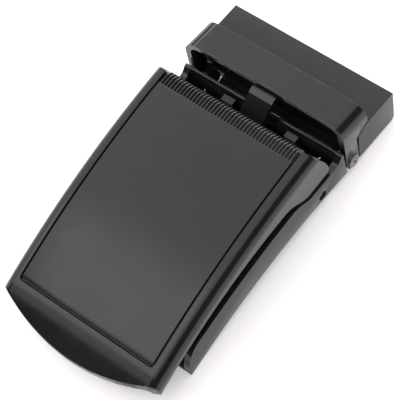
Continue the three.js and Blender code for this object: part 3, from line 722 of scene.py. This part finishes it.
def grip_ridges():
    """One rounded ridge over the rolled end, repeated across the panel by a node tree."""
    _, grip = panel_line()
    pitch = 2 * PANEL_HALF / RIDGES
    half = pitch * RIDGE_HALF_SHARE
    sunk = 0.05
    low = offset_line(grip, RIDGE_HEIGHT + sunk)
    right = [(half * 0.6, 0.86), (half * 0.92, 0.55), (half, 0.0)]
    profile = [(-x, share) for x, share in reversed(right)] + [(0, 1.0)] + right
    vertices, faces = [], []
    for i, (y, z) in enumerate(grip):
        rise = START_RISE if i == 0 else 1.0
        for x, share in profile:
            s = share * rise
            vertices.append((x, low[i][0] + (y - low[i][0]) * s, low[i][1] + (z - low[i][1]) * s))
    count = len(profile)
    for i in range(len(grip) - 1):
        for k in range(count):
            j = (k + 1) % count
            faces.append([i * count + k, i * count + j, (i + 1) * count + j, (i + 1) * count + k])
    faces.append(list(range(count)))
    faces.append([(len(grip) - 1) * count + k for k in range(count)][::-1])
    ridge = smooth(face_outwards(new_object("grip_ridge", vertices, faces)), 60)
    first = (-PANEL_HALF + pitch / 2, 0, 0)
    return repeated("grip_ridges", ridge, RIDGES, first, (pitch, 0, 0), PANEL_BLACK)


# ---- node trees: rows, copies set at given places, and wires ----
def new_tree(name, inputs):
    """A node tree for a modifier, with a geometry input and output and the named inputs given."""
    tree = bpy.data.node_groups.new(name, "GeometryNodeTree")
    face = tree.interface
    face.new_socket("Geometry", in_out="INPUT", socket_type="NodeSocketGeometry")
    made = [face.new_socket(label, in_out="INPUT", socket_type=kind) for label, kind in inputs]
    face.new_socket("Geometry", in_out="OUTPUT", socket_type="NodeSocketGeometry")
    source = tree.nodes.new("NodeGroupInput")
    result = tree.nodes.new("NodeGroupOutput")
    return tree, source, result, [socket.identifier for socket in made]


def finish_tree(tree, geometry, result, material):
    real = tree.nodes.new("GeometryNodeRealizeInstances")
    paint = tree.nodes.new("GeometryNodeSetMaterial")
    paint.inputs["Material"].default_value = material
    link(tree, geometry, real.inputs["Geometry"])
    link(tree, real.outputs["Geometry"], paint.inputs["Geometry"])
    link(tree, paint.outputs["Geometry"], result.inputs["Geometry"])


def made_real(name, mesh, tree, identifiers, values):
    obj = bpy.data.objects.new(name, mesh)
    bpy.context.scene.collection.objects.link(obj)
    modifier = obj.modifiers.new("make", "NODES")
    modifier.node_group = tree
    for identifier, value in zip(identifiers, values):
        modifier[identifier] = value
    return apply_modifiers(obj)


def repeated(name, piece, count, first, step, material):
    """Copies of a piece in a straight row. The pattern piece is used up."""
    tree, source, result, sockets = new_tree(name + "_row", [
        ("Count", "NodeSocketInt"), ("First", "NodeSocketVector"), ("Step", "NodeSocketVector")])
    line = tree.nodes.new("GeometryNodeMeshLine")
    on_points = tree.nodes.new("GeometryNodeInstanceOnPoints")
    link(tree, source.outputs["Count"], line.inputs["Count"])
    link(tree, source.outputs["First"], line.inputs["Start Location"])
    link(tree, source.outputs["Step"], line.inputs["Offset"])
    link(tree, line.outputs["Mesh"], on_points.inputs["Points"])
    link(tree, source.outputs["Geometry"], on_points.inputs["Instance"])
    finish_tree(tree, on_points.outputs["Instances"], result, material)
    mesh = piece.data.copy()
    bpy.data.objects.remove(piece)
    values = (count, [c * MM for c in first], [c * MM for c in step])
    return made_real(name, mesh, tree, sockets, values)


def placed(name, piece, places, material):
    """Copies of a piece at (point, turn) places. The pattern piece is used up."""
    tree, source, result, sockets = new_tree(name + "_set", [
        ("Piece", "NodeSocketObject"), ("Scale", "NodeSocketFloat")])
    info = tree.nodes.new("GeometryNodeObjectInfo")
    turn = tree.nodes.new("GeometryNodeInputNamedAttribute")
    turn.data_type = "FLOAT_VECTOR"
    turn.inputs["Name"].default_value = "turn"
    on_points = tree.nodes.new("GeometryNodeInstanceOnPoints")
    link(tree, source.outputs["Piece"], info.inputs["Object"])
    link(tree, source.outputs["Geometry"], on_points.inputs["Points"])
    link(tree, info.outputs["Geometry"], on_points.inputs["Instance"])
    link(tree, turn.outputs["Attribute"], on_points.inputs["Rotation"])
    link(tree, source.outputs["Scale"], on_points.inputs["Scale"])
    finish_tree(tree, on_points.outputs["Instances"], result, material)
    mesh = bpy.data.meshes.new(name)
    mesh.from_pydata([Vector(point) * MM for point, _ in places], [], [])
    turns = mesh.attributes.new("turn", "FLOAT_VECTOR", "POINT")
    for item, (_, angles) in zip(turns.data, places):
        item.vector = angles
    obj = made_real(name, mesh, tree, sockets, (piece, 1.0))
    bpy.data.objects.remove(piece)
    return obj


def wire(name, points, radius, material):
    """A round wire through the points, with closed ends."""
    tree, source, result, sockets = new_tree(name + "_wire", [("Wire Radius", "NodeSocketFloat")])
    path = tree.nodes.new("GeometryNodeMeshToCurve")
    section = tree.nodes.new("GeometryNodeCurvePrimitiveCircle")
    section.inputs["Resolution"].default_value = 12
    tube = tree.nodes.new("GeometryNodeCurveToMesh")
    tube.inputs["Fill Caps"].default_value = True
    link(tree, source.outputs["Geometry"], path.inputs["Mesh"])
    link(tree, source.outputs["Wire Radius"], section.inputs["Radius"])
    link(tree, path.outputs["Curve"], tube.inputs["Curve"])
    link(tree, section.outputs["Curve"], tube.inputs["Profile Curve"])
    finish_tree(tree, tube.outputs["Mesh"], result, material)
    mesh = bpy.data.meshes.new(name)
    mesh.from_pydata([Vector(p) * MM for p in points], [(i, i + 1) for i in range(len(points) - 1)], [])
    obj = made_real(name, mesh, tree, sockets, (radius * MM,))
    return smooth(face_outwards(obj, 0.0005), 50)


# ---- fasteners ----
AXIS = 0.0001                 # a radius small enough to close a turned end
SCREW_HEAD = 0.8              # the head's height above its seat
SCREW_SHORT = 0.6             # the shank stops inside the ear


def box_piece(name, low, high, taper=1.0):
    """A box between two corners, its low-x end narrowed by `taper`."""
    vertices = [(x, y * share, z * share) for x, share in ((low[0], taper), (high[0], 1.0))
                for y in (low[1], high[1]) for z in (low[2], high[2])]
    faces = [(0, 1, 3, 2), (4, 6, 7, 5), (0, 4, 5, 1), (2, 3, 7, 6), (0, 2, 6, 4), (1, 5, 7, 3)]
    return face_outwards(new_object(name, vertices, faces))


def screw_pattern():
    """A pan-head screw along +X, its head's seat at x = 0, with a cross recess."""
    head, shank = 1.58, 1.0
    dome_rise, dome_in, rim, end_edge = 0.3, 0.62, 0.08, 0.15
    recess_long, recess_wide, recess_deep, recess_taper = 0.98, 0.21, 0.42, 0.72
    length = SCREW_HIGH[0] - SCREW_HEAD - SCREW_LOW[0] - SCREW_SHORT
    dome = []
    for angle in steps(0, 90, 8):
        a = math.radians(angle)
        dome.append((SCREW_HEAD - dome_rise + dome_rise * math.sin(a), head - dome_in * (1 - math.cos(a))))
    profile = [(-length, AXIS), (-length, shank - end_edge), (-length + end_edge, shank), (0.0, shank),
               (0.0, head - rim), (rim, head), *dome, (SCREW_HEAD, AXIS)]
    screw = turned("screw_pattern", profile, 48)
    for wide, tall in ((recess_long, recess_wide), (recess_wide, recess_long)):
        low = (SCREW_HEAD - recess_deep, -wide, -tall)
        high = (SCREW_HEAD + 0.3, wide, tall)
        screw = combined(screw, box_piece("cut", low, high, recess_taper), "DIFFERENCE")
    return smooth(bevelled(screw, 0.035, 2, 50), 40)


def hinge_screws():
    seat = SCREW_HIGH[0] - SCREW_HEAD
    places = [((seat, SCREW_Y, SCREW_Z), (math.radians(20), 0, 0)),
              ((-seat, SCREW_Y, SCREW_Z), (math.radians(-35), 0, math.pi))]
    return placed("hinge_screws", screw_pattern(), places, NICKEL)


def rivet_pattern():
    """A domed rivet head under the web, its shank along the web's own upright, with its seat at z = 0."""
    shank, head, brim, dome = 1.0, 1.9, 0.1, 0.52
    profile = [(1.0, AXIS), (1.0, shank), (0.0, shank), (0.0, head - 0.08), (-brim, head)]
    for angle in steps(20, 85, 7):
        a = math.radians(angle)
        profile.append((-brim - dome * math.sin(a), head * math.cos(a)))
    profile.append((-brim - dome, AXIS))
    rivet = turned("rivet_pattern", profile, 32)
    rivet.data.transform(Matrix.Rotation(math.radians(-90), 4, "Y"))
    return smooth(rivet, 40)


def panel_rivets():
    places = []
    for number in (1, 2, 3, 4):
        low, high = node_box(f"panel_rivet_{number}")
        x, y = ((a + b) / 2 for a, b in zip(low[:2], high[:2]))
        turn = math.asin((CROWN_Y - y) / FACE_RADIUS)
        places.append((face_point(x, y, -POCKET_DEPTH - WEB - 0.05), (turn, 0, 0)))
    return placed("panel_rivets", rivet_pattern(), places, DARK_STEEL)


def spring(name, first, last, start, end, turns):
    """A torsion spring round the pin: start leg, coil and end leg. A leg's points are (y, z, x aside)."""
    radius = PIN_RADIUS + COIL_PLAY + WIRE_HALF
    begin = math.atan2(start[-1][1] - PIN_Z, start[-1][0] - PIN_Y) + math.pi / 2
    close = math.atan2(end[0][1] - PIN_Z, end[0][0] - PIN_Y) - math.pi / 2
    sweep = turns * 2 * math.pi + (close - begin) % (2 * math.pi)
    count = int(sweep / (2 * math.pi) * 28)
    points = [(first + aside, y, z) for y, z, aside in start]
    for i in range(count + 1):
        a = begin + sweep * i / count
        points.append((first + (last - first) * i / count,
                       PIN_Y + radius * math.cos(a), PIN_Z + radius * math.sin(a)))
    points += [(last + aside, y, z) for y, z, aside in end]
    return wire(name, points, WIRE_RADIUS, SPRING_STEEL)


# ---- the cut and folded pieces: the frame's solids with their edges finished ----
def finished_copy(node, name, edge, segments=2, angle=28):
    source = NODES[node]
    obj = bpy.data.objects.new(name, source.data.copy())
    bpy.context.scene.collection.objects.link(obj)

    def change(work):
        bmesh.ops.remove_doubles(work, verts=work.verts, dist=0.001 * MM)
        bmesh.ops.dissolve_limit(work, angle_limit=math.radians(0.4), verts=work.verts, edges=work.edges)
    edit(obj, change)
    return smooth(bevelled(obj, edge, segments, angle), 24)


FINISHED = (
    # node, piece, edge radius, segments, body, slot, material
    ("base_frame", "base_frame_cast", 0.16, 4, "frame", "black_coat", BLACK),
    ("keeper_loop", "keeper_loop_cast", 0.08, 2, "keeper", "black_coat", HOOP_BLACK_HIGHLIT),
    ("clip_shell", "clip_shell_folded", 0.14, 4, "clip", "black_coat", BLACK),
    ("clip_jaw", "clip_jaw_plate", 0.08, 2, "jaw", "dark_steel", DARK_STEEL),
    ("pawl", "pawl_tongue", 0.15, 3, "pawl_lever", "dark_steel", DARK_STEEL),
    ("pivot_pin", "pivot_pin_turned", 0.15, 3, "frame", "dark_steel", DARK_STEEL),
    ("jaw_pin", "jaw_pin_turned", 0.1, 2, "clip", "dark_steel", DARK_STEEL),
    ("hinge_washer_left", "washer_left", 0.06, 2, "frame", "dark_steel", DARK_STEEL),
    ("hinge_washer_right", "washer_right", 0.06, 2, "frame", "dark_steel", DARK_STEEL),
    ("pin_sleeve_left", "sleeve_left", 0.07, 2, "frame", "dark_steel", DARK_STEEL),
    ("pin_sleeve_right", "sleeve_right", 0.07, 2, "frame", "dark_steel", DARK_STEEL),
)


def shade_faces(obj, material, chosen):
    """Gives the faces picked by their middle (in millimetres) and way up another material; every use here
    paints shade on faces that lie in shadow.
    """
    obj.data.materials.append(material)
    for face in obj.data.polygons:
        if chosen(*(c / MM for c in face.center), face.normal.z):
            face.material_index = 1


def in_channel(x, y, z, up):
    """The base frame's inner faces, but for the edges and pads that stand up into the light; these get the
    painted shade material.
    """
    return abs(x) < OUTER_HALF - WALL and z < FRAME_TOP - RIM and not (up > 0.9 and z > PAD_Z)


def pawl_root(x, y, z, up):
    """The pawl's faces in front of and inside the cross wall's notch, which get the painted shade material
    for the dark slot.
    """
    return y < CROSS_WALL_Y + 1.0


# The screw's shank, inside the ear's bore, gets the painted shade material.
def screw_shank(x, y, z, up):
    return abs(x) < SCREW_HIGH[0] - SCREW_HEAD - 0.3


def springs():
    """The pawl's spring and the two lever springs, whose rear legs bend out a little at the end."""
    leg_y = CROSS_WALL_Y - LEG_SHORT
    lever_end = [(PIN_Y - 3.6, PIN_Z + 1.4, 0)]
    pawl_start = [(leg_y, PIN_Z - 0.6, 0)]
    pawl_end = [(PIN_Y + 3.4, PIN_Z + 3.2, 0)]
    made = []
    for node, side in (("pawl_spring", 0), ("lever_spring_left", -1), ("lever_spring_right", 1)):
        low, high = node_box(node)
        first, last = low[0] + WIRE_HALF, high[0] - WIRE_HALF
        if side < 0:
            first, last = last, first
        start, end = pawl_start, pawl_end
        if side:
            start = [(leg_y, PIN_Z + 0.45, 0.55 * side), (leg_y - 0.5, PIN_Z + 0.4, 0.15 * side)]
            end = lever_end
        made.append((node, spring(node + "_wire", first, last, start, end, SPRING_TURNS)))
    return made


def assemble():
    put(face_surround(), "face_lever", "black_coat", BLACK, "face_surround")
    put(face_panel(), "face_lever", "black_panel", PANEL_BLACK, "face_panel")
    put(grip_ridges(), "face_lever", "black_panel", PANEL_BLACK)
    put(panel_rivets(), "face_lever", "dark_steel", DARK_STEEL, *[f"panel_rivet_{n}" for n in (1, 2, 3, 4)])
    screws = put(hinge_screws(), "frame", "screw_nickel", NICKEL, "hinge_screw_left", "hinge_screw_right")
    shade_faces(screws, PAINTED_SHADE_BLACK, screw_shank)
    for node, name, edge, segments, body, slot, material in FINISHED:
        piece = put(finished_copy(node, name, edge, segments), body, slot, material, node)
        if node == "base_frame":
            shade_faces(piece, PAINTED_SHADE_BLACK, in_channel)
        if node == "pawl":
            shade_faces(piece, PAINTED_SHADE_BLACK, pawl_root)
    for node, coil in springs():
        put(coil, "frame", "bare_steel", SPRING_STEEL, node)


look()
studio()
assemble()
